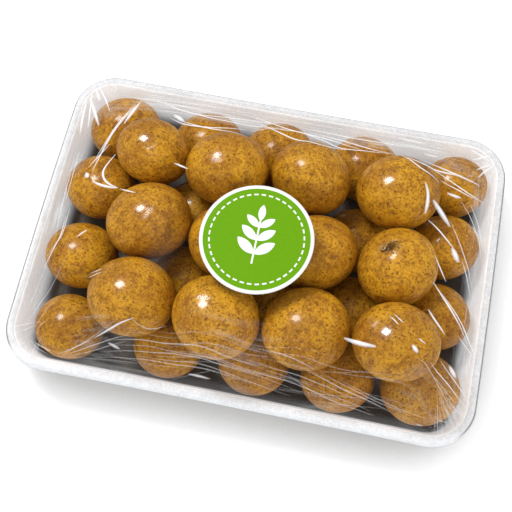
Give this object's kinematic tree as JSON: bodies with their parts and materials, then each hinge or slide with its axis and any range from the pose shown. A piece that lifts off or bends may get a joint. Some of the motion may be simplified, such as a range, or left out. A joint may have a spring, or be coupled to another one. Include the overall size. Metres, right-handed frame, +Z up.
{
  "type": "longan tray pack",
  "caption": "Loose longans heaped in two layers in a white foam tray, overwrapped in clear stretch film with a round green label on top",
  "frame": {"origin": "middle of the wrapped base, on the surface it stands on", "axes": "+X along the tray, +Y across it away from the viewer, +Z up out of the base"},
  "size_m": [0.1732, 0.124, 0.0586],
  "materials": {
    "longan_skin": "thin leathery skin, golden tan with fine dark brown speckles, satin",
    "foam": "white expanded foam with fine bead grain",
    "film": "clear stretch film, glossy, with fine taut creases",
    "label_print": null
  },
  "bodies": {
    "root": {"foam_tray": "foam", "longan_lower_1_1": "longan_skin", "longan_lower_1_2": "longan_skin", "longan_lower_1_3": "longan_skin", "longan_lower_1_4": "longan_skin", "longan_lower_1_5": "longan_skin", "longan_lower_2_1": "longan_skin", "longan_lower_2_2": "longan_skin", "longan_lower_2_3": "longan_skin", "longan_lower_2_4": "longan_skin", "longan_lower_2_5": "longan_skin", "longan_lower_3_1": "longan_skin", "longan_lower_3_2": "longan_skin", "longan_lower_3_3": "longan_skin", "longan_lower_3_4": "longan_skin", "longan_lower_3_5": "longan_skin", "longan_lower_4_1": "longan_skin", "longan_lower_4_2": "longan_skin", "longan_lower_4_3": "longan_skin", "longan_lower_4_4": "longan_skin", "longan_lower_4_5": "longan_skin", "longan_upper_1_1": "longan_skin", "longan_upper_1_2": "longan_skin", "longan_upper_1_3": "longan_skin", "longan_upper_1_4": "longan_skin", "longan_upper_2_1": "longan_skin", "longan_upper_2_2": "longan_skin", "longan_upper_2_3": "longan_skin", "longan_upper_2_4": "longan_skin", "longan_upper_3_1": "longan_skin", "longan_upper_3_2": "longan_skin", "longan_upper_3_3": "longan_skin", "longan_upper_3_4": "longan_skin", "round_label": "label_print", "stretch_film": "film"}
  },
  "joints": []
}
